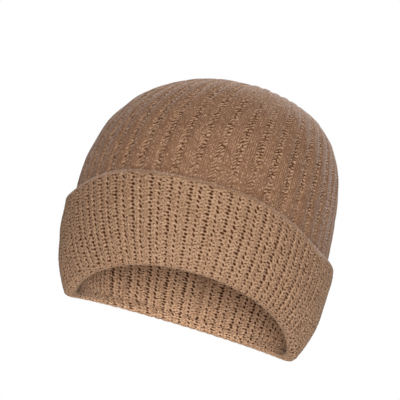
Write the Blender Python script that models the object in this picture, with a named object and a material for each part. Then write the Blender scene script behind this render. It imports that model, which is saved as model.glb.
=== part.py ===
"""Rib-knit beanie with a turned-up cuff, modelled as the layers and yarns it is made of.

Metres, +Z up, the front faces -Y. The origin is below the middle of the hat, on the plane
that its two lowest rim stretches rest on.
"""
import math

import bmesh
import bpy

# Driving dimensions
HEIGHT = 0.1837
CROWN_HALF_WIDTH = 0.0953
CROWN_HALF_LENGTH = 0.1012
RIM_HALF_WIDTH = 0.08055
RIM_HALF_LENGTH = 0.0958
CUFF_BASE_HALF_WIDTH = 0.08375
CUFF_BASE_HALF_LENGTH = 0.099
CUFF_TOP_HALF_WIDTH = 0.101
CUFF_TOP_HALF_LENGTH = 0.1065
CUFF_BELLY = 0.0024
CUFF_SPREAD_POWER = 0.5
DOME_START = 0.074
DOME_POWER = 2.55
DOME_ROUNDING = 0.4
CROWN_SEAM_HEIGHT = 0.108

# The hat leans to one side as it rises, and its dome leans back the other way
SIDE_LEAN = -0.0566
LEAN_LEVEL = 0.0641
APEX_SHIFT_X = 0.0154
APEX_SHIFT_Y = 0.0067

# The rim rests on two stretches, a little off the sides, and rises to the front and back
RIM_TURN = math.radians(11.25)
REST_HALF_SPAN = 0.1
RIM_FRONT_LIFT = 0.0196
RIM_BACK_LIFT = 0.019
LIFT_ROUNDING = 0.08

# The cuff's top edge is level over the ears and rises to the front and back
CUFF_SIDE_HEIGHT = 0.0678
CUFF_RISE_START = 0.353
CUFF_FRONT_RISE = 0.01425
CUFF_BACK_RISE = 0.011

# Fabric
WALL_THICKNESS = 0.0033
CUFF_THICKNESS = 0.0032
LAYER_GAP_LOW = 0.0005
LAYER_GAP_HIGH = 0.0022
LAYER_GAP_BELLY = 0.0018
FOLD_HEIGHT = 0.0075
FOLD_FLAT_HALF = 0.0009
FOLD_BACK = 0.0022
FOLD_BACK_LOW = 0.002
FOLD_BACK_LOW_HEIGHT = 0.0015
EDGE_RADIUS = 0.0017
PIECE_GAP = 0.0003

# Yarns
SEAM_YARN_RADIUS = 0.0008
GATHER_YARN_RADIUS = 0.0009
GATHER_RING_RADIUS = 0.006
GATHER_X = 0.016
GATHER_Y = 0.030
GATHER_DROP = 0.0009

ROUND = 64
CROWN_STEPS = 11
WALL_STEPS = 9
CUFF_STEPS = 9
FOLD_STEPS = 4
SEAM_STEPS = 12
GATHER_STEPS = 20
HALVINGS = 40
WOOL_ROUGHNESS = 0.92
BACK = math.pi / 2

YARN_COLOURS = {
    "crown": (0.310, 0.180, 0.108),
    "side_wall": (0.300, 0.172, 0.102),
    "turned_up_cuff": (0.337, 0.195, 0.114),
    "rim_fold": (0.330, 0.190, 0.112),
    "cuff_edge": (0.400, 0.260, 0.170),
    "back_seam_yarn": (0.290, 0.160, 0.095),
    "crown_gather_yarn": (0.280, 0.155, 0.090),
}


def clear_scene():
    for item in list(bpy.data.objects):
        bpy.data.objects.remove(item, do_unlink=True)


def angles():
    return [2 * math.pi * step / ROUND for step in range(ROUND)]


def lift(angle):
    """Height of the rim over the two stretches that it rests on."""
    side = math.sin(angle - RIM_TURN)
    rise = max(0.0, (abs(side) - REST_HALF_SPAN) / (1 - REST_HALF_SPAN))
    rounded = rise**2 * (1 + LIFT_ROUNDING) / (rise + LIFT_ROUNDING)
    return rounded * (RIM_FRONT_LIFT if side < 0 else RIM_BACK_LIFT)


def cuff_height(angle):
    """Height of the cuff's top edge."""
    side = math.sin(angle)
    rise = max(0.0, (abs(side) - CUFF_RISE_START) / (1 - CUFF_RISE_START))
    rounded = rise**2 * (3 - 2 * rise)
    return CUFF_SIDE_HEIGHT + rounded * (CUFF_FRONT_RISE if side < 0 else CUFF_BACK_RISE)


def cuff_depth(angle):
    return cuff_height(angle) - lift(angle)


def cuff_axes(share):
    """Half axes of the cuff's outer face at a share of its depth."""
    spread = share**CUFF_SPREAD_POWER
    belly = CUFF_BELLY * 4 * share * (1 - share)
    half_width = CUFF_BASE_HALF_WIDTH + (CUFF_TOP_HALF_WIDTH - CUFF_BASE_HALF_WIDTH) * spread + belly
    half_length = CUFF_BASE_HALF_LENGTH + (CUFF_TOP_HALF_LENGTH - CUFF_BASE_HALF_LENGTH) * spread + belly
    return half_width, half_length


def layer_gap(share):
    rise = LAYER_GAP_LOW + (LAYER_GAP_HIGH - LAYER_GAP_LOW) * share
    return rise + LAYER_GAP_BELLY * 4 * share * (1 - share)


def dome_scale(height):
    share = min(1.0, max(0.0, (height - DOME_START) / (HEIGHT - DOME_START)))
    return max(0.0, 1 - share**DOME_POWER) ** DOME_ROUNDING


def lean(height):
    """How far the hat has leaned from its middle at a height, in x and y."""
    share = max(0.0, (height - DOME_START) / (HEIGHT - DOME_START))
    side = SIDE_LEAN * (height - LEAN_LEVEL)
    return side + APEX_SHIFT_X * share**2, APEX_SHIFT_Y * share**2


def on_ellipse(half_axes, out, angle, height):
    """A point of a level ellipse whose half axes are grown by out, on the leaning hat."""
    half_width, half_length = half_axes
    shift_x, shift_y = lean(height)
    x = (half_width + out) * math.cos(angle) + shift_x
    y = (half_length + out) * math.sin(angle) + shift_y
    return (x, y, height)


def body_axes(angle, height):
    """Half width and half length of the body's outer face at a height."""
    share = (height - lift(angle)) / cuff_depth(angle)
    if share >= 1:
        scale = dome_scale(height)
        return CROWN_HALF_WIDTH * scale, CROWN_HALF_LENGTH * scale
    half_width, half_length = cuff_axes(share)
    inset = CUFF_THICKNESS + layer_gap(share)
    return half_width - inset, half_length - inset


def on_body(angle, height, inset=0.0):
    return on_ellipse(body_axes(angle, height), -inset, angle, height)


def on_cuff(angle, share, inset=0.0):
    height = lift(angle) + cuff_depth(angle) * share
    return on_ellipse(cuff_axes(share), -inset, angle, height)


def finish_piece(name, mesh, parts):
    colour = YARN_COLOURS[name]
    material = bpy.data.materials.new(name + "_wool")
    material.use_nodes = True
    shader = material.node_tree.nodes["Principled BSDF"]
    shader.inputs["Base Color"].default_value = (*colour, 1.0)
    shader.inputs["Roughness"].default_value = WOOL_ROUGHNESS
    shader.inputs["Metallic"].default_value = 0.0
    piece = bpy.data.objects.new(name, mesh)
    mesh.materials.append(material)
    parts.objects.link(piece)
    return piece


def loft(name, rings, parts, closed_section):
    """A mesh through rings of points. A closed section joins the last ring to the first,
    and an open one ends in a point at both of its ends."""
    form = bmesh.new()
    rows = [[form.verts.new(point) for point in ring] for ring in rings]
    if closed_section:
        rows.append(rows[0])
    for lower, upper in zip(rows, rows[1:]):
        if len(lower) == 1 or len(upper) == 1:
            add_fan(form, lower, upper)
        else:
            add_band(form, lower, upper)
    bmesh.ops.triangulate(form, faces=form.faces[:])
    bmesh.ops.recalc_face_normals(form, faces=form.faces[:])
    mesh = bpy.data.meshes.new(name)
    form.to_mesh(mesh)
    form.free()
    mesh.shade_smooth()
    mesh.set_sharp_from_angle(angle=math.radians(50))
    return finish_piece(name, mesh, parts)


def add_band(form, lower, upper):
    for step in range(ROUND):
        ahead = (step + 1) % ROUND
        form.faces.new((lower[step], lower[ahead], upper[ahead], upper[step]))


def add_fan(form, lower, upper):
    tip, ring = (lower[0], upper) if len(lower) == 1 else (upper[0], lower)
    for step in range(ROUND):
        form.faces.new((ring[step], ring[(step + 1) % ROUND], tip))


def yarn(name, points, radius, cyclic, parts):
    """A round yarn along a path, as a bevelled curve."""
    curve = bpy.data.curves.new(name, "CURVE")
    curve.dimensions = "3D"
    curve.bevel_depth = radius
    curve.bevel_resolution = 1
    curve.use_fill_caps = True
    spline = curve.splines.new("POLY")
    spline.points.add(len(points) - 1)
    for slot, point in zip(spline.points, points):
        slot.co = (*point, 1.0)
    spline.use_cyclic_u = cyclic
    return finish_piece(name, curve, parts)


def make_crown(parts):
    """The dome above the last full-width row: its outer face, then its inner one."""
    start = CROWN_SEAM_HEIGHT + PIECE_GAP / 2
    inner_top = HEIGHT - WALL_THICKNESS
    turns = [math.pi / 2 * step / CROWN_STEPS for step in range(CROWN_STEPS)]
    outer = [start + (HEIGHT - start) * math.sin(turn) for turn in turns]
    inner = [start + (inner_top - start) * math.sin(turn) for turn in turns]
    rings = [[(*lean(HEIGHT), HEIGHT)]]
    rings += [[on_body(angle, height) for angle in angles()] for height in reversed(outer)]
    rings += [[on_lining(angle, height) for angle in angles()] for height in inner]
    rings += [[(*lean(inner_top), inner_top)]]
    return loft("crown", rings, parts, False)


def on_lining(angle, height):
    """The inner face of the dome: the outer one, lowered and drawn in by the fabric's thickness."""
    inner_top = HEIGHT - WALL_THICKNESS
    raised = DOME_START + (height - DOME_START) * (HEIGHT - DOME_START) / (inner_top - DOME_START)
    scale = dome_scale(raised)
    half_width = (CROWN_HALF_WIDTH - WALL_THICKNESS) * scale
    half_length = (CROWN_HALF_LENGTH - WALL_THICKNESS) * scale
    return on_ellipse((half_width, half_length), 0.0, angle, height)


def make_side_wall(parts):
    """The single layer from the fold up to the crown."""
    top = CROWN_SEAM_HEIGHT - PIECE_GAP / 2

    def ring(step, inset):
        points = []
        for angle in angles():
            low = lift(angle) + FOLD_HEIGHT + PIECE_GAP
            points.append(on_body(angle, low + (top - low) * step / WALL_STEPS, inset))
        return points

    rings = [ring(step, 0.0) for step in range(WALL_STEPS, -1, -1)]
    rings += [ring(step, WALL_THICKNESS) for step in range(WALL_STEPS + 1)]
    return loft("side_wall", rings, parts, True)


def make_cuff(parts):
    """The turned-up layer, from the fold to just under its edge."""

    def ring(step, inset):
        points = []
        for angle in angles():
            low = (FOLD_HEIGHT + PIECE_GAP) / cuff_depth(angle)
            high = 1 - (2 * EDGE_RADIUS + PIECE_GAP) / cuff_depth(angle)
            points.append(on_cuff(angle, low + (high - low) * step / CUFF_STEPS, inset))
        return points

    rings = [ring(step, 0.0) for step in range(CUFF_STEPS, -1, -1)]
    rings += [ring(step, CUFF_THICKNESS) for step in range(CUFF_STEPS + 1)]
    return loft("turned_up_cuff", rings, parts, True)


def fold_ring(out, up):
    """A ring at a distance outside the rim's line, and a height over it."""
    rim = (RIM_HALF_WIDTH, RIM_HALF_LENGTH)
    return [on_ellipse(rim, out, angle, lift(angle) + up) for angle in angles()]


def make_fold(parts):
    """The rim, where the fabric turns over: outer face down, flat underside, inner face up."""
    rings = []
    for step in range(FOLD_STEPS, 0, -1):
        height = FOLD_HEIGHT * (step / FOLD_STEPS) ** 2
        rings += [[on_cuff(angle, height / cuff_depth(angle)) for angle in angles()]]
    rings += [fold_ring(FOLD_FLAT_HALF, 0.0), fold_ring(-FOLD_FLAT_HALF, 0.0)]
    rings += [fold_ring(-FOLD_BACK_LOW, FOLD_BACK_LOW_HEIGHT), fold_ring(-FOLD_BACK, FOLD_HEIGHT / 2)]
    rings += [[on_body(angle, lift(angle) + FOLD_HEIGHT, WALL_THICKNESS) for angle in angles()]]
    return loft("rim_fold", rings, parts, True)


def make_cuff_edge(parts):
    """The cast-on edge, a rounded row of loops on top of the cuff."""
    path = []
    for angle in angles():
        share = 1 - EDGE_RADIUS / cuff_depth(angle)
        path.append(on_cuff(angle, share, CUFF_THICKNESS / 2))
    return yarn("cuff_edge", path, EDGE_RADIUS, True, parts)


def make_seam_yarn(parts):
    """The yarn that sews the back seam, along the inner face from the rim to the crown."""
    inset = WALL_THICKNESS + PIECE_GAP + SEAM_YARN_RADIUS
    low = lift(BACK) + FOLD_HEIGHT + 4 * SEAM_YARN_RADIUS
    path = []
    for step in range(SEAM_STEPS + 1):
        height = low + (CROWN_SEAM_HEIGHT - low) * step / SEAM_STEPS
        path.append(on_body(BACK, height, inset))
    return yarn("back_seam_yarn", path, SEAM_YARN_RADIUS, False, parts)


def lining_height(x, y):
    """Height of the dome's inner face over a point of the plan, by halving the interval."""
    low, high = CROWN_SEAM_HEIGHT, HEIGHT - WALL_THICKNESS
    for _ in range(HALVINGS):
        middle = (low + high) / 2
        shift_x, shift_y = lean(middle)
        half_width = on_lining(0.0, middle)[0] - shift_x
        half_length = on_lining(BACK, middle)[1] - shift_y
        if ((x - shift_x) / half_width) ** 2 + ((y - shift_y) / half_length) ** 2 < 1:
            low = middle
        else:
            high = middle
    return low


def make_gather_yarn(parts):
    """The yarn drawn through the last loops, which closes the crown from inside."""
    path = []
    for step in range(GATHER_STEPS):
        turn = 2 * math.pi * step / GATHER_STEPS
        x = GATHER_X + GATHER_RING_RADIUS * math.cos(turn)
        y = GATHER_Y + GATHER_RING_RADIUS * math.sin(turn)
        path.append((x, y, lining_height(x, y) - GATHER_YARN_RADIUS - GATHER_DROP))
    return yarn("crown_gather_yarn", path, GATHER_YARN_RADIUS, True, parts)


def main():
    clear_scene()
    parts = bpy.data.collections.new("rib_knit_beanie")
    bpy.context.scene.collection.children.link(parts)
    make_crown(parts)
    make_side_wall(parts)
    make_cuff(parts)
    make_fold(parts)
    make_cuff_edge(parts)
    make_seam_yarn(parts)
    make_gather_yarn(parts)


main()
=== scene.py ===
"""Rib-knit wool beanie with a turned-up cuff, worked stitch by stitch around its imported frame."""
import math
from dataclasses import dataclass, replace

import bpy
import numpy as np
from mathutils import Matrix, Vector


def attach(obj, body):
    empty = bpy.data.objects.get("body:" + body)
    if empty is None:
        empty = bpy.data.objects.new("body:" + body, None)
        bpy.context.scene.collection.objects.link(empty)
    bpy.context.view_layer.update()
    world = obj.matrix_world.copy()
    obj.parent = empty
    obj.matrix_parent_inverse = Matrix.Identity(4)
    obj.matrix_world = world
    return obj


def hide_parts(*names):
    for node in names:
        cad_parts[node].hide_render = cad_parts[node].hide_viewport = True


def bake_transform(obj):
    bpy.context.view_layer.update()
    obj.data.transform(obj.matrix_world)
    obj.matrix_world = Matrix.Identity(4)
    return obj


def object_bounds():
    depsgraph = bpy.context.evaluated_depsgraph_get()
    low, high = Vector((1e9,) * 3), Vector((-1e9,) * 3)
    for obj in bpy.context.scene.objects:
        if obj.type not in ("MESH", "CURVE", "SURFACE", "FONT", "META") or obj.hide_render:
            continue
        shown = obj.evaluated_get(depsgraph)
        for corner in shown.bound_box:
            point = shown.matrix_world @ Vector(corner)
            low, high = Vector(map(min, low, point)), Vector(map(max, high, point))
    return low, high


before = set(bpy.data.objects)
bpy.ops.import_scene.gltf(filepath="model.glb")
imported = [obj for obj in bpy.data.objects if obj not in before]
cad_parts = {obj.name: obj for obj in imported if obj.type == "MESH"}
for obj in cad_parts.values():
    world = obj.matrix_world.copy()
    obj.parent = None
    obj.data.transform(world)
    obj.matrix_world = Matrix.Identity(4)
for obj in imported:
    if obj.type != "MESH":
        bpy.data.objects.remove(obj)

CAD_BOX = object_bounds()
MM = 0.001

# The hat's form, as its frame has it, in metres. Axes are half axes of a level ellipse, x and y.
HEIGHT = CAD_BOX[1][2]
CROWN_AXES = np.array((0.0953, 0.1012))
RIM_AXES = np.array((0.08055, 0.0958))
CUFF_BASE_AXES = np.array((0.08375, 0.0990))
CUFF_TOP_AXES = np.array((0.101, 0.1065))
CUFF_SIDE_HEIGHT = 0.0678
CUFF_FRONT_RISE = 0.01425
CUFF_BACK_RISE = 0.0110
CUFF_RISE_START = 0.353
CUFF_DEPTH = 0.064
CUFF_BELLY = 0.0024
CUFF_SPREAD_POWER = 0.5
DOME_START = 0.074
DOME_POWER = 2.55
DOME_ROUNDING = 0.40
APEX_SHIFT = np.array((0.0154, 0.0067))
SIDE_LEAN = np.array((-0.0566, 0.0))
LEAN_LEVEL = 0.0641
RIM_TURN = math.radians(11.25)
RIM_FRONT_LIFT = 0.0196
RIM_BACK_LIFT = 0.0190
LIFT_ROUNDING = 0.08
REST_HALF_SPAN = 0.1
WALL_THICKNESS = 0.0033
CUFF_THICKNESS = 0.0032
LAYER_GAP_LOW = 0.0005
LAYER_GAP_HIGH = 0.0022
LAYER_GAP_BELLY = 0.0018
FOLD_HEIGHT = 0.0075
FOLD_BACK = 0.0022
FOLD_CLEARANCE = 0.00015    # from the fold up to the start of the wall and of its inside
EDGE_RADIUS = 0.0017
EDGE_SINK = 1.4             # edge radii from the top of the edge down to the top of the cuff's face
GATHER = (0.084, 0.235)     # where the ribs meet, in shares of the crown's half axes
# Shares of the cuff's depth between which the wall goes over to the crown's plan
WALL_TO_CROWN = (0.96, 1.04)

# The knitting's layout. Places round the hat are in ribs, and widths and courses in mm.
RIBS = 48
RIB_WIDTH = 13.4            # round the cuff
COURSE = 2.5                # from one course to the next, as the reverse side shows it
FACE_COURSE = 0.97 * COURSE
# Where a rib of the cuff and the lining is: rib number, and its place round the hat in even ribs.
# The ribs are drawn wide at the middle of the back.
RIB_PLACES = ((0, 0.16), (8, 7.1), (12, 12), (15, 15.6), (17.5, 19.1), (24, 24.16), (48, 48.16))
BODY_RIB_PHASE = -0.5
BODY_RIB_CROWDING = 0.5     # ribs by which the crown's ribs bunch towards the back
BODY_RIB_EVEN_AT = 38
LEAN_RIBS = 1.95            # ribs by which the cuff's ribs lean over at most, from fold to edge
LEAN_AT_RIB, LEAN_REACH = 27.5, 6.4
LOOPS_PER_RIB = 5           # of the cast-on edge

# The meshes' grids
CUFF_COLUMNS, BODY_COLUMNS, LINING_COLUMNS = 24, 24, 20     # in one rib
FACE_ROWS, FOLD_ROWS, LIP_ROWS, LEDGE_ROWS, BACK_ROWS = 122, 24, 14, 3, 33
CUFF_FOLD_SHARE = 0.05      # share of the cuff's depth where its face starts to turn under
BODY_PITCH, LINING_PITCH = 0.0006, 0.0008                   # metres from row to row
EDGE_STEPS, EDGE_TURNS = 24, 12
# Where in a rib the columns stand closer together: place, reach, and how much closer
CLOSE_COLUMNS = ((0.0, 0.10, 0.8), (0.44, 0.08, 0.4))

# Wool colours, linear: the base, the light and the dark of each yarn. The light and the dark give both
# the yarn's own uneven tone and painted highlights and painted shade on its loops.
OUTSIDE = ((0.257, 0.141, 0.079), (0.53, 0.355, 0.228), (0.124, 0.050, 0.021))
CROWN = ((0.262, 0.143, 0.086), (0.56, 0.375, 0.240), (0.120, 0.050, 0.024))
# The inside's colours are a lighter copy of the same wool: painted light, for the inside of the back
# where the lamps reach it
LIT_INSIDE = ((0.415, 0.234, 0.137), (0.91, 0.600, 0.385), (0.155, 0.062, 0.026))
# The edge's colours are paler than the cuff's: a painted sheen, as of backlit fuzz along the edge
LIT_EDGE = ((0.290, 0.165, 0.096), (0.58, 0.395, 0.262), (0.132, 0.056, 0.025))
# Painted shade: the dark of the shadow seen through a gap in the knit
GAP_SHADE = (0.062, 0.0155, 0.0035)
SHEEN, CROWN_SHEEN, EDGE_SHEEN = 0.14, 0.30, 0.6
KNIT_CURL, FACE_CURL = 0.85, 0.6    # how strongly a knit's fine loops show


# ---- the hat's form ----

def smooth_step(share):
    return share**2 * (3 - 2 * share)


def belly(share):
    """A bulge that is 0 at both ends and 1 half way."""
    return 4 * share * (1 - share)


def lift(angle):
    """Height of the rim over the two stretches at the sides that it rests on."""
    side = np.sin(angle - RIM_TURN)
    rise = np.clip((np.abs(side) - REST_HALF_SPAN) / (1 - REST_HALF_SPAN), 0, None)
    rise = rise**2 * (1 + LIFT_ROUNDING) / (rise + LIFT_ROUNDING)
    return rise * np.where(side < 0, RIM_FRONT_LIFT, RIM_BACK_LIFT)


def cuff_height(angle):
    """Height of the cuff's top edge."""
    side = np.sin(angle)
    rise = np.clip((np.abs(side) - CUFF_RISE_START) / (1 - CUFF_RISE_START), 0, 1)
    return CUFF_SIDE_HEIGHT + smooth_step(rise) * np.where(side < 0, CUFF_FRONT_RISE, CUFF_BACK_RISE)


def depth(angle):
    """Depth of the cuff, from its edge down to the rim."""
    return cuff_height(angle) - lift(angle)


def cuff_axes(share):
    """Half axes of the cuff's face at a share of its depth, 0 at the rim and 1 at its edge."""
    share = np.asarray(share, float)[..., None]
    spread = (CUFF_TOP_AXES - CUFF_BASE_AXES) * share**CUFF_SPREAD_POWER
    return CUFF_BASE_AXES + spread + CUFF_BELLY * belly(share)


def layer_gap(share):
    """Gap between the cuff and the wall behind it."""
    return LAYER_GAP_LOW + (LAYER_GAP_HIGH - LAYER_GAP_LOW) * share + LAYER_GAP_BELLY * belly(share)


def dome_height_share(height):
    """How high on the dome a height is, 0 at its start and 1 at its top."""
    return (height - DOME_START) / (HEIGHT - DOME_START)


def dome_scale(height):
    """How far the dome's plan has shrunk at a height, from 1 at its start to 0 at its top."""
    share = np.clip(dome_height_share(height), 0, 1)
    return np.clip(1 - share**DOME_POWER, 0, None) ** DOME_ROUNDING


def dome_share(scale):
    """How high on the dome, from 0 to 1, its plan has shrunk to a scale."""
    return np.clip(1 - np.clip(scale, 0, 1) ** (1 / DOME_ROUNDING), 0, 1) ** (1 / DOME_POWER)


def lean(height):
    """How far, in x and y, the form stands out of the upright at a height."""
    share = np.clip(dome_height_share(height), 0, None)
    return share[..., None] ** 2 * APEX_SHIFT + (height[..., None] - LEAN_LEVEL) * SIDE_LEAN


def on_ellipse(axes, out, angle, height):
    """Points at a height each on a leaning form with an ellipse as its plan, moved outward a little."""
    around = np.stack((np.cos(angle), np.sin(angle)), -1)
    plan = (axes + np.asarray(out, float)[..., None]) * around + lean(height)
    return np.concatenate((plan, height[..., None]), -1)


def on_cuff(angle, share, inset=0.0):
    """A point of the cuff's face, or under it by an inset."""
    height = lift(angle) + depth(angle) * share
    return on_ellipse(cuff_axes(share), -inset, angle, height)


def on_wall(angle, share, inset):
    """A point of the wall below the top of the cuff, under its outer face by an inset."""
    return on_cuff(angle, share, inset + CUFF_THICKNESS + layer_gap(share))


# ---- columns: equally spaced round the hat, closer together at the open stitches ----

def running_share(rate):
    """Share of the whole that has passed at each step, for a rate at each step."""
    total = np.concatenate(((0,), np.cumsum((rate[1:] + rate[:-1]) / 2)))
    return total / total[-1]


def columns(per_rib):
    """Rib coordinate of every column once round, with the first repeated at the end."""
    fine = np.linspace(0, 1, 2001)
    density = 1.0
    for place, reach, closer in CLOSE_COLUMNS:
        away = (fine - place + 0.5) % 1 - 0.5
        density = density + closer * np.exp(-(away / reach) ** 2)
    one = np.interp(np.arange(per_rib) / per_rib, running_share(density), fine)
    ribs = (np.arange(RIBS)[:, None] + one).reshape(-1)
    return np.concatenate((ribs, (RIBS,)))


def angles_of(ribs):
    """Angle round the hat at a rib coordinate, with equal lengths of edge for equal ribs."""
    fine = np.linspace(0, 2 * math.pi, 7201)
    speed = np.hypot(CROWN_AXES[0] * np.sin(fine), CROWN_AXES[1] * np.cos(fine))
    turns = np.floor(ribs / RIBS)
    return np.interp(ribs / RIBS - turns, running_share(speed), fine) + 2 * math.pi * turns


def rib_places(ribs):
    """Where the ribs of the cuff and the lining are, in even ribs."""
    turns = np.floor(ribs / RIBS)
    return np.interp(ribs - RIBS * turns, *np.transpose(RIB_PLACES)) + RIBS * turns


def cuff_angles(ribs, share):
    """Angles of the cuff's ribs, which lean over on one side of the hat."""
    away = np.mod(ribs - LEAN_AT_RIB + RIBS / 2, RIBS) - RIBS / 2
    leaning = LEAN_RIBS * np.exp(-(away / LEAN_REACH) ** 2)
    return angles_of(rib_places(ribs) - leaning * (share - 0.5))


def body_angles(ribs):
    """Angles of the crown's and the side wall's ribs."""
    at = ribs + BODY_RIB_PHASE
    return angles_of(at + BODY_RIB_CROWDING * np.sin(2 * math.pi * (at - BODY_RIB_EVEN_AT) / RIBS))


# ---- chance: the same numbers in every run ----

SEED, WANDER_SEED = 7, 17
CHANCE_KINDS, CHANCE_COURSES = 16, 256
CHANCE = np.random.RandomState(SEED).uniform(-1, 1, (CHANCE_KINDS, RIBS, CHANCE_COURSES))
# Kinds that the loops use. The wells use the even ones up to 10, each with the one after it.
LOOP_SLANT, LOOP_OPENING, LOOP_BEND, LOOP_SHIFT, LINE_STRENGTH, YARN_STRENGTH = 0, 2, 12, 13, 14, 15
# How many courses off the numbers for something else about the same stitch are taken
SIZE_COURSES, STRENGTH_COURSES, SECOND_COLUMN_COURSES = 91, 57, 97
WAVES, WAVES_SCALE = 9, 4
FEWEST_CRESTS, MORE_CRESTS = 2, 1.7     # round the hat, in the first wave and more in each one after
LEAST_CLIMB, MORE_CLIMB = 0.03, 0.021   # radians to a mm along the ribs


def jitter(kind, rib, course):
    """The chance number of a kind, from -1 to 1, that belongs to one stitch."""
    return CHANCE[kind, np.mod(rib, RIBS).astype(int), np.mod(course, CHANCE_COURSES).astype(int)]


def uneven(spread, kind, rib, course):
    """A strength for each stitch, from 1 down to 1 less twice the spread."""
    return 1 - spread + spread * jitter(kind, rib, course)


def wander(ribs, along, kind):
    """A slow, smooth variation over the fabric, from about -1 to 1: waves that cross each other."""
    starts = np.random.RandomState(WANDER_SEED + kind).uniform(0, 2 * math.pi, WAVES)
    total = 0
    for wave, start in enumerate(starts):
        crests = int(FEWEST_CRESTS + wave * MORE_CRESTS)
        climb = (LEAST_CLIMB + MORE_CLIMB * wave) * (-1) ** wave
        total = total + np.sin(crests * 2 * math.pi * ribs / RIBS + climb * along + start)
    return total / WAVES_SCALE


# ---- stitches: heights in mm over the fabric's middle face, and how much painted shade a gap gets ----

@dataclass
class Wells:
    """A column of wells in the knit, one to a pitch along the rib, in mm. Zigzag moves them to the
    left and right by turns, loose moves them by chance, and uneven is how much of their strength
    is by chance."""
    chance: int
    half_width: float
    half_height: float
    slant: float
    loose: float
    uneven: float
    pitch: float = COURSE
    start: float = 0.0
    zigzag: float = 0.0


HOLES = Wells(0, 1.12, 0.84, slant=0.30, loose=0.18, uneven=0.2, start=0.5, zigzag=0.38)
SLITS = Wells(2, 0.85, 1.25, slant=0.5, loose=0.3, uneven=0.2, pitch=1.4 * COURSE, zigzag=0.2)
SPECKS = Wells(6, 0.90, 0.68, slant=-0.7, loose=0.5, uneven=0.4)
MORE_SPECKS = replace(SPECKS, chance=8, slant=0.7, start=0.5)
FLECKS = Wells(10, 0.65, 0.60, slant=0.9, loose=0.35, uneven=0.6)
CROWN_WELLS = Wells(4, 0.55, 0.85, slant=0.5, loose=0.5, uneven=0.45, pitch=1.3 * FACE_COURSE)
WELL_POWER = 2.6                        # 2 would make a well round, and more makes it squarer
LIP_SPREAD = 5.0                        # how much more slowly the lip fades out than the well
RISE_SPREAD, SIZE_SPREAD = 0.10, 0.16   # shares of a pitch and of a well's size, by chance


def wells(column, rib, across, along):
    """How deep each point is in a column's wells, and how near it is to a well's lip."""
    deep = np.zeros(np.broadcast(across, along).shape)
    lip = deep.copy()
    course = np.floor(along / column.pitch - column.start)
    for step in (-1, 0, 1):
        here = course + step
        side = np.where(np.mod(here, 2) < 1, 1.0, -1.0)
        sideways = column.zigzag * side + column.loose * jitter(column.chance, rib, here)
        upward = RISE_SPREAD * jitter(column.chance + 1, rib, here)
        size = 1 + SIZE_SPREAD * jitter(column.chance, rib, here + SIZE_COURSES)
        rise = along - (here + 0.5 + column.start + upward) * column.pitch
        dx = np.abs((across - sideways + column.slant * rise) / (column.half_width * size))
        dy = np.abs(rise / (column.half_height * size))
        reach = dx**WELL_POWER + dy**WELL_POWER
        strength = uneven(column.uneven, column.chance + 1, rib, here + STRENGTH_COURSES)
        deep = np.maximum(deep, strength * np.exp(-reach))
        lip = np.maximum(lip, strength * np.exp(-reach / LIP_SPREAD))
    return deep, np.clip(lip - deep, 0, 1)


def arch(across, width, power):
    """A rounded column of a width, 1 at its middle and 0 at its edges."""
    share = np.clip(across / width, 0, 1)
    return np.clip(np.sin(math.pi * share), 0, 1) ** power


# The reverse side: holes at a rib's edge and slits part it into a narrow and a wide column of loops
NARROW_WIDTH = 0.435 * RIB_WIDTH
WIDE_WIDTH = RIB_WIDTH - NARROW_WIDTH
SPECKS_AT = NARROW_WIDTH + 0.34 * WIDE_WIDTH
MORE_SPECKS_AT = NARROW_WIDTH + 0.68 * WIDE_WIDTH
FLECKS_AT = 0.55 * NARROW_WIDTH
NARROW_ARCH, WIDE_ARCH = 0.55, 0.5      # powers
NARROW_RISE, WIDE_RISE = 0.50, 0.62
CURL_RISE, LOOP_RISE = 0.10, 0.16       # on the narrow and on the wide column
LIP_RISE = 0.25
HOLE_DEPTH, SLIT_DEPTH, SPECK_DEPTH, FLECK_DEPTH = 1.5, 1.0, 0.5, 0.3
# Painted shade in the wells, as shares of the gap shade colour
HOLE_SHADE, SLIT_SHADE, SPECK_SHADE, FLECK_SHADE = 1.45, 1.35, 0.95, 0.75
# Painted highlights on the crests of the curls and loops and on the lips round the wells, and painted
# shade in the loops' troughs
CURL_LIGHT, LOOP_LIGHT, LIP_LIGHT = 0.25, 0.30, 1.5
CURL_BEND, LOOP_BOW, LOOP_BOW_TURNS = 0.9, 0.45, 1.5    # in courses, and in turns over the wide column
COLUMN_STRAY, LOOP_STRAY = 0.5, 0.18    # in courses, by chance, of a whole rib and of one loop
REVERSE_LEVEL = 0.6                     # about the mean height, which is taken off


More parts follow.
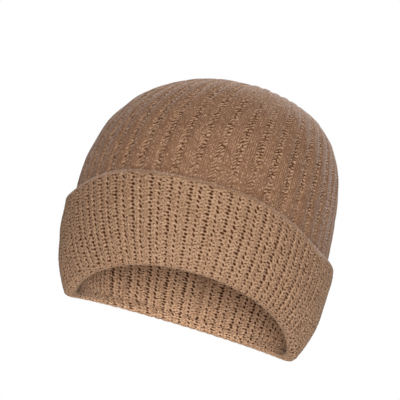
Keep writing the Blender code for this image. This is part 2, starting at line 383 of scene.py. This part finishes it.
def reverse_stitches(ribs, along, vigour):
    """The side of the fabric that the cuff and the inside show."""
    rib = np.floor(ribs)
    across = (ribs - rib) * RIB_WIDTH
    late = across > RIB_WIDTH / 2
    from_edge = np.where(late, across - RIB_WIDTH, across)
    holes, hole_lip = wells(HOLES, np.where(late, rib + 1, rib), from_edge, along)
    slits, slit_lip = wells(SLITS, rib, across - NARROW_WIDTH, along)
    some, some_lip = wells(SPECKS, rib, across - SPECKS_AT, along)
    more, more_lip = wells(MORE_SPECKS, rib, across - MORE_SPECKS_AT, along)
    flecks, fleck_lip = wells(FLECKS, rib, across - FLECKS_AT, along)
    specks, speck_lip = np.maximum(some, more), np.maximum(some_lip, more_lip)
    narrow = arch(across, NARROW_WIDTH, NARROW_ARCH)
    wide = arch(across - NARROW_WIDTH, WIDE_WIDTH, WIDE_ARCH)
    share = np.clip((across - NARROW_WIDTH) / WIDE_WIDTH, 0, 1)
    course = along / COURSE + COLUMN_STRAY * jitter(LOOP_BEND, rib, np.zeros_like(rib))
    stray = LOOP_STRAY * jitter(LOOP_BEND, rib, np.floor(course + 0.5))
    bow = LOOP_BOW * np.cos(2 * math.pi * LOOP_BOW_TURNS * share)
    bend = CURL_BEND * np.abs(across / NARROW_WIDTH - 0.5)
    loops = np.cos(2 * math.pi * (course + bow + stray)) * wide
    curls = np.cos(2 * math.pi * (course + bend)) * narrow
    height = NARROW_RISE * narrow + WIDE_RISE * wide + LOOP_RISE * loops + CURL_RISE * curls
    sunk = HOLE_DEPTH * holes + SLIT_DEPTH * slits + SPECK_DEPTH * specks + FLECK_DEPTH * flecks
    height = height + vigour * (LIP_RISE * np.maximum(hole_lip, speck_lip) - sunk)
    gap = HOLE_SHADE * holes + SLIT_SHADE * slits + SPECK_SHADE * specks + FLECK_SHADE * flecks
    lip = np.maximum(np.maximum(hole_lip, fleck_lip), np.maximum(speck_lip, slit_lip))
    light = LOOP_LIGHT * loops + CURL_LIGHT * curls + LIP_LIGHT * lip
    return height - REVERSE_LEVEL, np.clip(gap * vigour, 0, 1), np.clip(light, -1, 1)


# The crown's side: sunk columns of slanted stitches in the middle of a rib, smooth bands between
SUNK_AT, SUNK_HALF_WIDTH = 0.5 * RIB_WIDTH, 0.215 * RIB_WIDTH
BAND_EDGE = 0.35                        # mm over which a band rises
BAND_LINES = 5                          # fine lines along a band
LINE_PITCH = (RIB_WIDTH - 2 * SUNK_HALF_WIDTH) / BAND_LINES
LEFT_SLANT, RIGHT_SLANT, SLANT_SPREAD = 0.55, -0.20, 0.40
SHIFT_SPREAD = 0.24                     # in courses
COLUMN_ROUNDNESS, OPENING_POWER = 1.2, 1.5
LINE_UNEVEN, YARN_UNEVEN, OPENING_UNEVEN = 0.4, 0.30, 0.45
BAND_RISE, LINE_RISE, YARN_RISE, OPENING_DEPTH = 0.90, 0.10, 0.40, 0.80
# Painted highlights on the sunk yarn and on the bands' fine ridges, painted shade over the sunk bands and
# in the grooves between the ridges
YARN_LIGHT, SUNK_DARK, LINE_LIGHT, BAND_DARK = 1.85, 0.10, 0.55, 0.02
# Painted shade in the sunk columns' openings
OPENING_SHADE, CROWN_WELL_DEPTH = 2.1, 0.8
FACE_LEVEL = 0.95


def face_stitches(ribs, along, vigour):
    """The side of the fabric that the crown shows: smooth raised bands and open sunk ones."""
    rib = np.floor(ribs)
    off = (ribs - rib) * RIB_WIDTH - SUNK_AT
    from_band = np.abs(off) - SUNK_HALF_WIDTH
    band = 1 / (1 + np.exp(-from_band / BAND_EDGE))
    lines = np.cos(2 * math.pi * from_band / LINE_PITCH)
    lines = lines * uneven(LINE_UNEVEN, LINE_STRENGTH, rib, np.floor(along / (2 * COURSE)))
    left = off < 0
    column = np.where(left, 0, SECOND_COLUMN_COURSES)
    course = np.floor(along / FACE_COURSE + 0.5) + column
    from_middle = 2 * np.abs(off) / SUNK_HALF_WIDTH - 1
    slant = np.where(left, LEFT_SLANT, RIGHT_SLANT) + SLANT_SPREAD * jitter(LOOP_SLANT, rib, course)
    shift = np.where(left, 0, 0.5) + SHIFT_SPREAD * jitter(LOOP_SHIFT, rib, course)
    loops = np.cos(2 * math.pi * (along / FACE_COURSE + slant * from_middle + shift))
    post = np.clip(COLUMN_ROUNDNESS * (1 - from_middle**2), 0, 1)
    yarn = post * np.clip(loops, 0, 1) * uneven(YARN_UNEVEN, YARN_STRENGTH, rib, course)
    below = np.floor(along / FACE_COURSE) + column
    opening = post * np.clip(-loops, 0, 1) ** OPENING_POWER
    opening = opening * uneven(OPENING_UNEVEN, LOOP_OPENING, rib, below)
    middle = wells(CROWN_WELLS, rib, off, along)[0]
    opening = np.maximum(opening, CROWN_WELL_DEPTH * middle)
    sunk = (1 - band) * vigour
    height = (BAND_RISE + LINE_RISE * lines) * band + (YARN_RISE * yarn - OPENING_DEPTH * opening) * sunk
    light = sunk * (YARN_LIGHT * yarn - SUNK_DARK) + band * (LINE_LIGHT * lines - BAND_DARK) * vigour
    return height - FACE_LEVEL, np.clip(OPENING_SHADE * opening * sunk, 0, 1), np.clip(light, -1, 1)


# ---- meshes ----

def normals_of(points):
    """Outward normals of a grid whose columns run round the hat and rows upward."""
    around = np.gradient(points, axis=1)
    around[:, 0] = around[:, -1] = (points[:, 1] - points[:, -2]) / 2
    normal = np.cross(around, np.gradient(points, axis=0))
    return normal / np.maximum(np.linalg.norm(normal, axis=-1, keepdims=True), 1e-12)


def raised(points, height_mm):
    """The grid with each point moved along its normal."""
    return points + normals_of(points) * (height_mm * MM)[..., None]


def grid_piece(name, points, values, material, flip=False, closed=False):
    """A piece from a grid of points. A closed one's last row joins its first, with both ends capped."""
    rows, cols = points.shape[:2]
    index = np.arange(rows * cols).reshape(rows, cols)
    if closed:
        index = np.vstack((index, index[:1]))
    corners = (index[:-1, :-1], index[:-1, 1:], index[1:, 1:], index[1:, :-1])
    faces = np.stack(corners[::-1] if flip else corners, -1).reshape(-1)
    starts = np.arange(0, len(faces), 4)
    if closed:
        ends = (index[:-1, -1], index[:-1, 0][::-1])
        ends = [end[::-1] if flip else end for end in ends]
        starts = np.concatenate((starts, (len(faces), len(faces) + rows)))
        faces = np.concatenate((faces, *ends))
    mesh = bpy.data.meshes.new(name)
    mesh.vertices.add(rows * cols)
    mesh.vertices.foreach_set("co", points.astype(np.float32).reshape(-1))
    mesh.loops.add(len(faces))
    mesh.loops.foreach_set("vertex_index", faces.astype(np.int32))
    mesh.polygons.add(len(starts))
    mesh.polygons.foreach_set("loop_start", starts.astype(np.int32))
    for key, value in values.items():
        layer = mesh.attributes.new(key, "FLOAT", "POINT")
        layer.data.foreach_set("value", value.astype(np.float32).reshape(-1))
    mesh.update(calc_edges=True)
    mesh.validate()
    mesh.shade_smooth()
    if closed:
        mesh.polygons[-1].use_smooth = False
        mesh.polygons[-2].use_smooth = False
    mesh.materials.append(material)
    piece = bpy.data.objects.new(name, mesh)
    bpy.context.scene.collection.objects.link(piece)
    return piece


def halves(name, points, values, material, **how):
    """The grid as a front and a back piece, parted over the ears."""
    middle = points.shape[1] // 2
    made = []
    for part, span in (("back", slice(0, middle + 1)), ("front", slice(middle, None))):
        some = {key: value[:, span] for key, value in values.items()}
        made.append(grid_piece(f"{name}_{part}", points[:, span], some, material, **how))
    return made


# ---- material ----

class Tree:
    """Short names for building a material's node tree."""

    def __init__(self, name):
        self.material = bpy.data.materials.new(name)
        self.material.use_nodes = True
        self.tree = self.material.node_tree
        self.shader = self.tree.nodes["Principled BSDF"]

    def node(self, kind, **settings):
        made = self.tree.nodes.new(kind)
        for key, value in settings.items():
            setattr(made, key, value)
        return made

    def put(self, node, **values):
        """Plugs a value into each input that is named, with _ for a space."""
        for name, value in values.items():
            self.plug(value, node.inputs[name.replace("_", " ")])

    def plug(self, value, socket):
        """Sets a socket to a colour, a vector or a number, or links another node's output to it."""
        if isinstance(value, tuple):
            socket.default_value = (*value, 1) if len(socket.default_value) == 4 else value
        elif isinstance(value, (int, float)):
            socket.default_value = value
        else:
            self.tree.links.new(value, socket)

    def mix(self, first, second, share):
        made = self.node("ShaderNodeMix", data_type="RGBA")
        for value, place in ((share, 0), (first, 6), (second, 7)):
            self.plug(value, made.inputs[place])
        return made.outputs[2]

    def math(self, operation, first, second):
        made = self.node("ShaderNodeMath", operation=operation)
        self.plug(first, made.inputs[0])
        self.plug(second, made.inputs[1])
        return made.outputs[0]

    def ramp(self, value, start, end, low=0.0, high=1.0):
        """Goes from low to high as the value goes from start to end, and no further."""
        made = self.node("ShaderNodeMapRange")
        self.put(made, Value=value, From_Min=start, From_Max=end, To_Min=low, To_Max=high)
        return made.outputs[0]

    def attribute(self, name):
        return self.node("ShaderNodeAttribute", attribute_name=name).outputs["Fac"]

    def noise(self, where, scale, detail):
        made = self.node("ShaderNodeTexNoise")
        self.put(made, Vector=where, Scale=scale, Detail=detail, Roughness=0.6)
        return made

    def cells(self, where, scale, spread):
        made = self.node("ShaderNodeTexVoronoi", feature="DISTANCE_TO_EDGE")
        self.put(made, Vector=where, Scale=scale, Randomness=spread)
        return made.outputs["Distance"]


FIBRE_SCALE, CLOUD_SCALE = 1500, 60         # to a metre
STRAY_SCALE, STRAY = 0.45, (1.6, 1.6, 0.0)  # to a millimetre, and mm
LOOP_SCALE, LOOP_SPREAD = 0.50, 0.9
ROUGHNESS, SPECULAR = 0.95, 0.06
SHEEN_TINT, SHEEN_ROUGHNESS = (0.95, 0.91, 0.87), 0.24
FIBRE_BUMP, FIBRE_HEIGHT = 0.7, 0.5 * MM


def wool(name, curl, colours=OUTSIDE, sheen=SHEEN):
    """Knitted wool: loops of yarn with painted highlights on them and painted shade in the spaces between
    them, under loose fibres.
    """
    make = Tree(name)
    # Painted light: the inner attribute turns the colours towards the lighter inside copy
    turned = make.attribute("inner")
    base, light, dark = (make.mix(out, within, turned) for out, within in zip(colours, LIT_INSIDE))
    where = make.node("ShaderNodeTexCoord").outputs["Object"]
    gap, painted_light = make.attribute("gap"), make.attribute("light")
    cloth = make.node("ShaderNodeCombineXYZ")
    make.put(cloth, X=make.attribute("across"), Y=make.attribute("along"))
    stray = make.noise(cloth.outputs[0], STRAY_SCALE, 2.0)
    bent = make.node("ShaderNodeVectorMath", operation="MULTIPLY_ADD")
    for value, place in ((stray.outputs["Color"], 0), (STRAY, 1), (cloth.outputs[0], 2)):
        make.plug(value, bent.inputs[place])
    loops = make.cells(bent.outputs[0], LOOP_SCALE, LOOP_SPREAD)
    fibre = make.noise(where, FIBRE_SCALE, 3.0).outputs["Fac"]
    cloud = make.noise(where, CLOUD_SCALE, 2.0).outputs["Fac"]
    # The base, cloudy with up to two fifths of the dark
    colour = make.mix(dark, base, make.ramp(cloud, 0.15, 0.6, 0.6))
    # Each step turns the colour towards another as a value goes from a start to an end, up to a share
    steps = (
        # Painted highlight and painted shade: lighter in the middle of each loop, darker at its edges
        (light, loops, 0.16, 0.38, curl),
        (dark, loops, 0.16, 0.03, curl),
        # The yarn's own tone: lighter and darker fibres at random
        (light, fibre, 0.48, 0.75, 0.45),
        (dark, fibre, 0.48, 0.25, 0.45),
        # Painted highlights and painted shade from the light attribute
        (light, painted_light, 0.0, 1.0, 0.9),
        (dark, painted_light, 0.0, -1.0, 0.8),
        # Painted shade in the gaps
        (GAP_SHADE, gap, 0.18, 0.80, 0.97),
    )
    for towards, value, start, end, share in steps:
        colour = make.mix(colour, towards, make.ramp(value, start, end, 0.0, share))
    rounded = make.math("MULTIPLY", make.ramp(loops, 0.0, 0.3), curl)
    bump = make.node("ShaderNodeBump")
    make.put(bump, Strength=FIBRE_BUMP, Distance=FIBRE_HEIGHT, Height=make.math("ADD", rounded, fibre))
    make.put(make.shader, Base_Color=colour, Roughness=ROUGHNESS, Specular_IOR_Level=SPECULAR)
    make.put(make.shader, Sheen_Weight=sheen, Sheen_Roughness=SHEEN_ROUGHNESS, Sheen_Tint=SHEEN_TINT)
    make.put(make.shader, Normal=bump.outputs[0])
    return make.material


# ---- pieces ----

def rows_towards(start, end, count):
    """Rows of points evenly from one row to another, without the first."""
    return start + (end - start) * np.linspace(0, 1, count + 1)[1:, None, None]


def cuff_rows(ribs):
    """Points down the cuff's face, round the fold, up the lip inside, and up its back."""
    top, low = 1 - EDGE_RADIUS * EDGE_SINK / CUFF_DEPTH, CUFF_FOLD_SHARE
    down = np.linspace(top, low, FACE_ROWS)[:, None]
    face = on_cuff(cuff_angles(ribs, down), down)
    angle = cuff_angles(ribs, low)
    height = lift(angle)
    outer = on_ellipse(cuff_axes(low), 0.0, angle, height)
    inner = on_ellipse(RIM_AXES, -FOLD_BACK, angle, height)
    turn = math.pi * np.linspace(0, 1, FOLD_ROWS + 1)[1:, None]
    fold = outer + (inner - outer) * ((1 - np.cos(turn)) / 2)[..., None]
    fold[..., 2] = height + low * depth(angle) * (1 - np.sin(turn))
    start = FOLD_HEIGHT / depth(angle)
    lip_top = on_wall(angle, start, WALL_THICKNESS)
    lip = rows_towards(fold[-1], lip_top, LIP_ROWS)
    ledge = rows_towards(lip_top, on_cuff(angle, start, CUFF_THICKNESS), LEDGE_ROWS)
    up = start + (top - start) * np.linspace(0, 1, BACK_ROWS + 1)[1:, None]
    back = on_cuff(cuff_angles(ribs, up), up, CUFF_THICKNESS)
    return np.concatenate((face, fold, lip, ledge, back))


BACK_START, BACK_BLEND = 0.1, 0.5       # in half depths of the hat, behind its middle


def lit_inside_share(ribs):
    """How far the fabric is on the inside of the back, which the light reaches, from 0 to 1: how much
    painted light it takes from the lighter inside colours.
    """
    return np.clip((np.sin(2 * math.pi * ribs / RIBS) - BACK_START) / BACK_BLEND, 0, 1)


def fabric_values(ribs, along, gap, light, inner):
    """What a knit material reads at each point of a piece: painted shade in its gaps, painted highlights
    and shade, its place on the cloth, and its share of the lighter inside colours, which is painted
    light.
    """
    inner = np.broadcast_to(inner, along.shape)
    return {"gap": gap, "light": light, "across": ribs * RIB_WIDTH, "along": along, "inner": inner}


FOOT_VIGOUR, FOOT_LENGTH = 0.88, 28     # the cuff's stitches near the rim, and mm to their full openness
SIDE_VIGOUR = 0.45                      # how much more open they are over the ears
LIP_SOFTNESS, BACK_SOFTNESS = 0.6, 0.25  # shares of the stitches' height on the fold and behind it
CUFF_WANDER, CUFF_WANDER_START, CUFF_WANDER_LENGTH = 0.5, 4, 20         # mm


def make_cuff(material):
    """The turned-up layer as one closed sleeve: its face, the fold, the lip inside, and its back."""
    ribs = columns(CUFF_COLUMNS)
    points = cuff_rows(ribs)
    step = np.linalg.norm(np.diff(points[:, len(ribs) // 8], axis=0), axis=1)
    along = np.concatenate(((0,), np.cumsum(step))) / MM
    ribs, along = np.meshgrid(ribs, along[FACE_ROWS] - along)
    from_foot = FOOT_VIGOUR + (1 - FOOT_VIGOUR) * np.clip(along / FOOT_LENGTH, 0, 1)
    vigour = np.where(along < 0, 1.0, from_foot)
    vigour = vigour * (1 + SIDE_VIGOUR * np.cos(2 * math.pi * ribs / RIBS) ** 2)
    height_mm, gap, light = reverse_stitches(ribs, along, vigour)
    behind = FACE_ROWS + FOLD_ROWS + LIP_ROWS
    height_mm[FACE_ROWS:] *= LIP_SOFTNESS
    height_mm[behind:] *= BACK_SOFTNESS
    rising = np.clip((along - CUFF_WANDER_START) / CUFF_WANDER_LENGTH, 0, 1)
    height_mm = height_mm + CUFF_WANDER * wander(ribs, along, 0) * rising
    # Painted light: from the fold on, the rows on the back of the hat turn to the lighter inside colours
    turned = np.clip((np.arange(len(along)) - FACE_ROWS) / FOLD_ROWS, 0, 1)[:, None] * lit_inside_share(ribs)
    values = fabric_values(ribs, along, gap, light, turned)
    values = {key: value[::-1] for key, value in values.items()}
    pieces = halves("cuff_knit", raised(points[::-1], height_mm[::-1]), values, material, closed=True)
    for piece in pieces:
        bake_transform(piece)
    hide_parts("turned_up_cuff", "rim_fold")
    return pieces


EDGE_SLIMMEST, EDGE_LOOP_POWER = 0.74, 0.7
# Painted shade in the gaps between the edge's loops, painted light all along the edge, and a painted
# highlight on the top of each loop
EDGE_GAP_WIDTH, EDGE_GAP_SHADE, EDGE_LIGHT, EDGE_CREST_LIGHT = 0.7, 0.7, 0.15, 0.75


def make_edge(material, cuffs):
    """The cast-on edge: a row of rounded loops along the top of the cuff, with painted highlights on
    their tops and painted shade between them.
    """
    ribs = np.arange(RIBS * EDGE_STEPS + 1) / EDGE_STEPS
    angle = cuff_angles(ribs, 1.0)
    share = 1 - EDGE_RADIUS / depth(angle)
    centre = on_cuff(angle, share, CUFF_THICKNESS / 2)
    outward = on_cuff(angle, share) - centre
    outward = outward / np.linalg.norm(outward, axis=-1, keepdims=True)
    upward = np.array((0.0, 0.0, 1.0))
    turn = np.linspace(0, 2 * math.pi, EDGE_TURNS + 1)[:-1]
    ribs, turn = np.meshgrid(ribs, turn)
    loop = np.abs(np.cos(math.pi * ribs * LOOPS_PER_RIB + turn / 2)) ** EDGE_LOOP_POWER
    radius = EDGE_RADIUS * (EDGE_SLIMMEST + (1 - EDGE_SLIMMEST) * loop)
    around = np.cos(turn)[..., None] * outward + np.sin(turn)[..., None] * upward
    crest = np.clip(np.sin(turn), 0, 1) ** 2
    gap = EDGE_GAP_SHADE * np.clip(EDGE_GAP_WIDTH - loop, 0, 1)
    light = EDGE_LIGHT + EDGE_CREST_LIGHT * crest * loop
    values = fabric_values(ribs, turn * EDGE_RADIUS / MM, gap, light, 0.0)
    points = centre + radius[..., None] * around
    pieces = halves("cuff_edge_loops", points, values, material, flip=True, closed=True)
    for cuff, piece in zip(cuffs, pieces):
        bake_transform(piece)
    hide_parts("cuff_edge")


def crown_rows(pitch):
    """Plan scales of the crown's rows, a pitch apart up the dome, and how far up it each row is."""
    heights = DOME_START + (HEIGHT - DOME_START) * np.sin(np.linspace(0, math.pi / 2, 4001))
    scale = dome_scale(heights)
    step = np.hypot(np.diff(heights), np.diff(scale) * CROWN_AXES.mean())
    length = np.concatenate(((0,), np.cumsum(step)))
    at = np.linspace(0, length[-1], int(length[-1] / pitch))
    return np.interp(at, length, scale), at


def dome_points(angle, scales, inset):
    """Points of the dome with its rows drawn towards the gather."""
    scales = scales[:, None]
    plan_x = scales * np.cos(angle) + GATHER[0] * (1 - scales**2)
    plan_y = scales * np.sin(angle) + GATHER[1] * (1 - scales**2)
    share = dome_share(np.hypot(plan_x, plan_y))
    height = DOME_START + (HEIGHT - inset - DOME_START) * share
    x = (CROWN_AXES[0] - inset) * plan_x + APEX_SHIFT[0] * share**2 + SIDE_LEAN[0] * (height - LEAN_LEVEL)
    y = (CROWN_AXES[1] - inset) * plan_y + APEX_SHIFT[1] * share**2
    return np.stack((x, y, height), -1)


def body_points(angle, pitch, inset):
    """The single layer from the fold to the gather, and the length along it in mm."""
    scales, at = crown_rows(pitch)
    dome = dome_points(angle, scales[1:], inset)
    low = lift(angle) + FOLD_HEIGHT + FOLD_CLEARANCE
    first = dome[0, :, 2]
    wall_length = first.mean() - low.mean()
    steps = int(wall_length / pitch) + 1
    rise = np.arange(steps)[:, None] / steps
    height = low + (first - low) * rise
    share = (height - lift(angle)) / depth(angle)
    wall = on_wall(angle, np.clip(share, 0, 1), inset)
    wall[..., :2] += (height - wall[..., 2])[..., None] * SIDE_LEAN
    above = on_ellipse(CROWN_AXES, -inset, angle, height)
    start, end = WALL_TO_CROWN
    wall = wall + (above - wall) * np.clip((share - start) / (end - start), 0, 1)[..., None]
    wall[..., 2] = height
    along = np.concatenate((wall_length * rise[:, 0], wall_length + at[1:]))
    return np.concatenate((wall, dome)), along / MM


# Above the cuff the stitches start at a share of their strength, up to a height over its edge, and
# reach all of it after a further length, both in metres
CALM_VIGOUR, CALM_HEIGHT, CALM_LENGTH = 0.5, 0.004, 0.028
WIDEST_ROWS = 40            # from the fold up, the rows that say how wide a whole rib is
# Towards the gather the stitches fade and flatten with the share of its width that a rib has left
FADE_GAIN, FADE_LOSS, FLATTEN_GAIN = 2.2, 0.3, 1.3
BODY_STAND = 0.25           # mm by which the knit stands off the wall's outer face
BODY_WANDER, BODY_WANDER_START, BODY_WANDER_LENGTH = 0.6, 70, 20        # mm


def make_body(material):
    """The side wall and the crown, as the face of the one layer of knit."""
    ribs = columns(BODY_COLUMNS)
    angle = body_angles(ribs)
    points, along = body_points(angle, BODY_PITCH, 0.0)
    ribs, along = np.meshgrid(ribs, along)
    width = np.linalg.norm(np.gradient(points, axis=1), axis=-1).mean(axis=1)
    size = np.clip(width / width[:WIDEST_ROWS].max(), 0, 1)[:, None]
    over_cuff = points[..., 2] - lift(angle) - CUFF_DEPTH
    clear = np.clip((over_cuff - CALM_HEIGHT) / CALM_LENGTH, 0, 1)
    vigour = (CALM_VIGOUR + (1 - CALM_VIGOUR) * clear) * np.clip(size * FADE_GAIN - FADE_LOSS, 0, 1)
    height_mm, gap, light = face_stitches(ribs, along, vigour)
    rising = np.clip((along - BODY_WANDER_START) / BODY_WANDER_LENGTH, 0, 1)
    drift = BODY_WANDER * wander(ribs, along, 1) * rising * size
    height_mm = height_mm * np.clip(size * FLATTEN_GAIN, 0, 1) + BODY_STAND + drift
    values = fabric_values(ribs, along, gap, light, 0.0)
    pieces = halves("body_knit", raised(points, height_mm), values, material)
    for piece in pieces:
        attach(piece, "cap")
    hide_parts("crown", "side_wall")


LINING_VIGOUR, LINING_STAND = 1.3, 0.1      # the second in mm, off the wall's inner face


def make_lining(material):
    """The inside face of the same layer, which shows the reverse of the rib, mirrored."""
    ribs = columns(LINING_COLUMNS)
    points, along = body_points(angles_of(rib_places(ribs)), LINING_PITCH, WALL_THICKNESS)
    ribs, along = np.meshgrid(ribs, along)
    height_mm, gap, light = reverse_stitches(RIBS - ribs, along, LINING_VIGOUR)
    # Painted light: the lining on the back of the hat takes the lighter inside colours
    values = fabric_values(ribs, along, gap, light, lit_inside_share(ribs))
    inward = raised(points, -height_mm - LINING_STAND)
    for piece in halves("lining_knit", inward, values, material, flip=True):
        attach(piece, "cap")


def dress_yarns(material):
    """Gives the CAD's two yarns the wool's look, in the lighter inside colours, which are painted light.
    """
    for name in ("back_seam_yarn", "crown_gather_yarn"):
        for place in bpy.data.objects[name].material_slots:
            place.material = material


# ---- stage: metres, and degrees, with azimuth 0 at the front and 90 at the wearer's left ----

CAMERA_AZIMUTH, CAMERA_ELEVATION, CAMERA_ROLL = 7.92, -14.16, 15.62
CAMERA_DISTANCE = 1.529
CAMERA_TARGET = Vector((0.0036, 0, 0.1))
CAMERA_RIGHT, CAMERA_UP = -0.01164, -0.00221    # how far the picture's middle is from the target
LENS, SENSOR_WIDTH = 187.4, 36                  # mm
LIGHT_TARGET = Vector((0, 0, 0.09))
# Each light's name, azimuth, elevation, distance, size and power in watts
LIGHTS = (
    ("front", 10, -9, 1.9, 0.4, 32),
    ("top", 180, 62, 1.7, 1.2, 37),
    ("back", 195, 12, 2.0, 1.0, 24),
)
AMBIENT, AMBIENT_COLOUR = 0.12, (1.0, 0.66, 0.42, 1)
WHITE = (1, 1, 1, 1)
PAPER = (0.9, 0.9, 0.9, 1)
FLOOR_HALF_SIZE, FLOOR_LEVEL = 6.0, -0.6


def direction(azimuth, elevation):
    """From the hat towards a place around it."""
    around, up = math.radians(azimuth), math.radians(elevation)
    return Vector((math.sin(around) * math.cos(up), -math.cos(around) * math.cos(up), math.sin(up)))


def make_camera():
    """The photograph's camera: a long lens that looks up at the hat, with the hat leaning."""
    back = direction(CAMERA_AZIMUTH, CAMERA_ELEVATION)
    level = direction(CAMERA_AZIMUTH + 90, 0)
    above = back.cross(level)
    roll = math.radians(CAMERA_ROLL)
    right = math.cos(roll) * level + math.sin(roll) * above
    up = math.cos(roll) * above - math.sin(roll) * level
    place = CAMERA_TARGET + back * CAMERA_DISTANCE + right * CAMERA_RIGHT + up * CAMERA_UP
    data = bpy.data.cameras.new("camera")
    data.lens, data.sensor_width = LENS, SENSOR_WIDTH
    data.clip_start, data.clip_end = 0.05, 50
    camera = bpy.data.objects.new("camera", data)
    turned = Matrix((right, up, back)).transposed()
    camera.matrix_world = Matrix.Translation(place) @ turned.to_4x4()
    bpy.context.scene.collection.objects.link(camera)
    bpy.context.scene.camera = camera


def area_light(name, azimuth, elevation, distance, size, power):
    data = bpy.data.lights.new(name, "AREA")
    data.shape, data.size, data.energy = "DISK", size, power
    light = bpy.data.objects.new(name, data)
    towards = direction(azimuth, elevation)
    light.location = LIGHT_TARGET + towards * distance
    light.rotation_euler = towards.to_track_quat("Z", "Y").to_euler()
    bpy.context.scene.collection.objects.link(light)


def seen_as(tree, kind, colour, surface, output):
    """Shows the camera a plain colour in place of a surface that still lights the scene."""
    plain, choose = tree.nodes.new(kind), tree.nodes.new("ShaderNodeMixShader")
    plain.inputs[0].default_value = colour
    path = tree.nodes.new("ShaderNodeLightPath")
    tree.links.new(path.outputs["Is Camera Ray"], choose.inputs[0])
    tree.links.new(surface, choose.inputs[1])
    tree.links.new(plain.outputs[0], choose.inputs[2])
    tree.links.new(choose.outputs[0], output)


def make_surroundings():
    """Warm, weak light from all round, seen as white."""
    world = bpy.data.worlds.new("studio")
    world.use_nodes = True
    tree = world.node_tree
    shine = tree.nodes["Background"]
    shine.inputs["Color"].default_value = AMBIENT_COLOUR
    shine.inputs["Strength"].default_value = AMBIENT
    seen_as(tree, "ShaderNodeBackground", WHITE, shine.outputs[0], tree.nodes["World Output"].inputs[0])
    bpy.context.scene.world = world


def make_floor():
    """Pale matt paper well below the hat, because the photograph looks up, seen as white."""
    mesh = bpy.data.meshes.new("floor")
    corners = ((-1, -1), (1, -1), (1, 1), (-1, 1))
    corners = [(x * FLOOR_HALF_SIZE, y * FLOOR_HALF_SIZE, FLOOR_LEVEL) for x, y in corners]
    mesh.from_pydata(corners, [], [(0, 1, 2, 3)])
    floor = bpy.data.objects.new("floor", mesh)
    paper = bpy.data.materials.new("paper")
    paper.use_nodes = True
    tree = paper.node_tree
    matt = tree.nodes["Principled BSDF"]
    matt.inputs["Base Color"].default_value = PAPER
    matt.inputs["Roughness"].default_value = 1.0
    seen_as(tree, "ShaderNodeEmission", WHITE, matt.outputs[0], tree.nodes["Material Output"].inputs[0])
    mesh.materials.append(paper)
    bpy.context.scene.collection.objects.link(floor)


make_camera()
make_surroundings()
make_floor()
for light in LIGHTS:
    area_light(*light)
bpy.context.scene.view_settings.view_transform = "Standard"

cuffs = make_cuff(wool("reverse_knit", KNIT_CURL))
make_edge(wool("edge_knit", KNIT_CURL, LIT_EDGE, sheen=EDGE_SHEEN), cuffs)
make_body(wool("face_knit", FACE_CURL, CROWN, sheen=CROWN_SHEEN))
make_lining(wool("inside_knit", KNIT_CURL))
dress_yarns(wool("seam_yarn", 0.0, LIT_INSIDE))
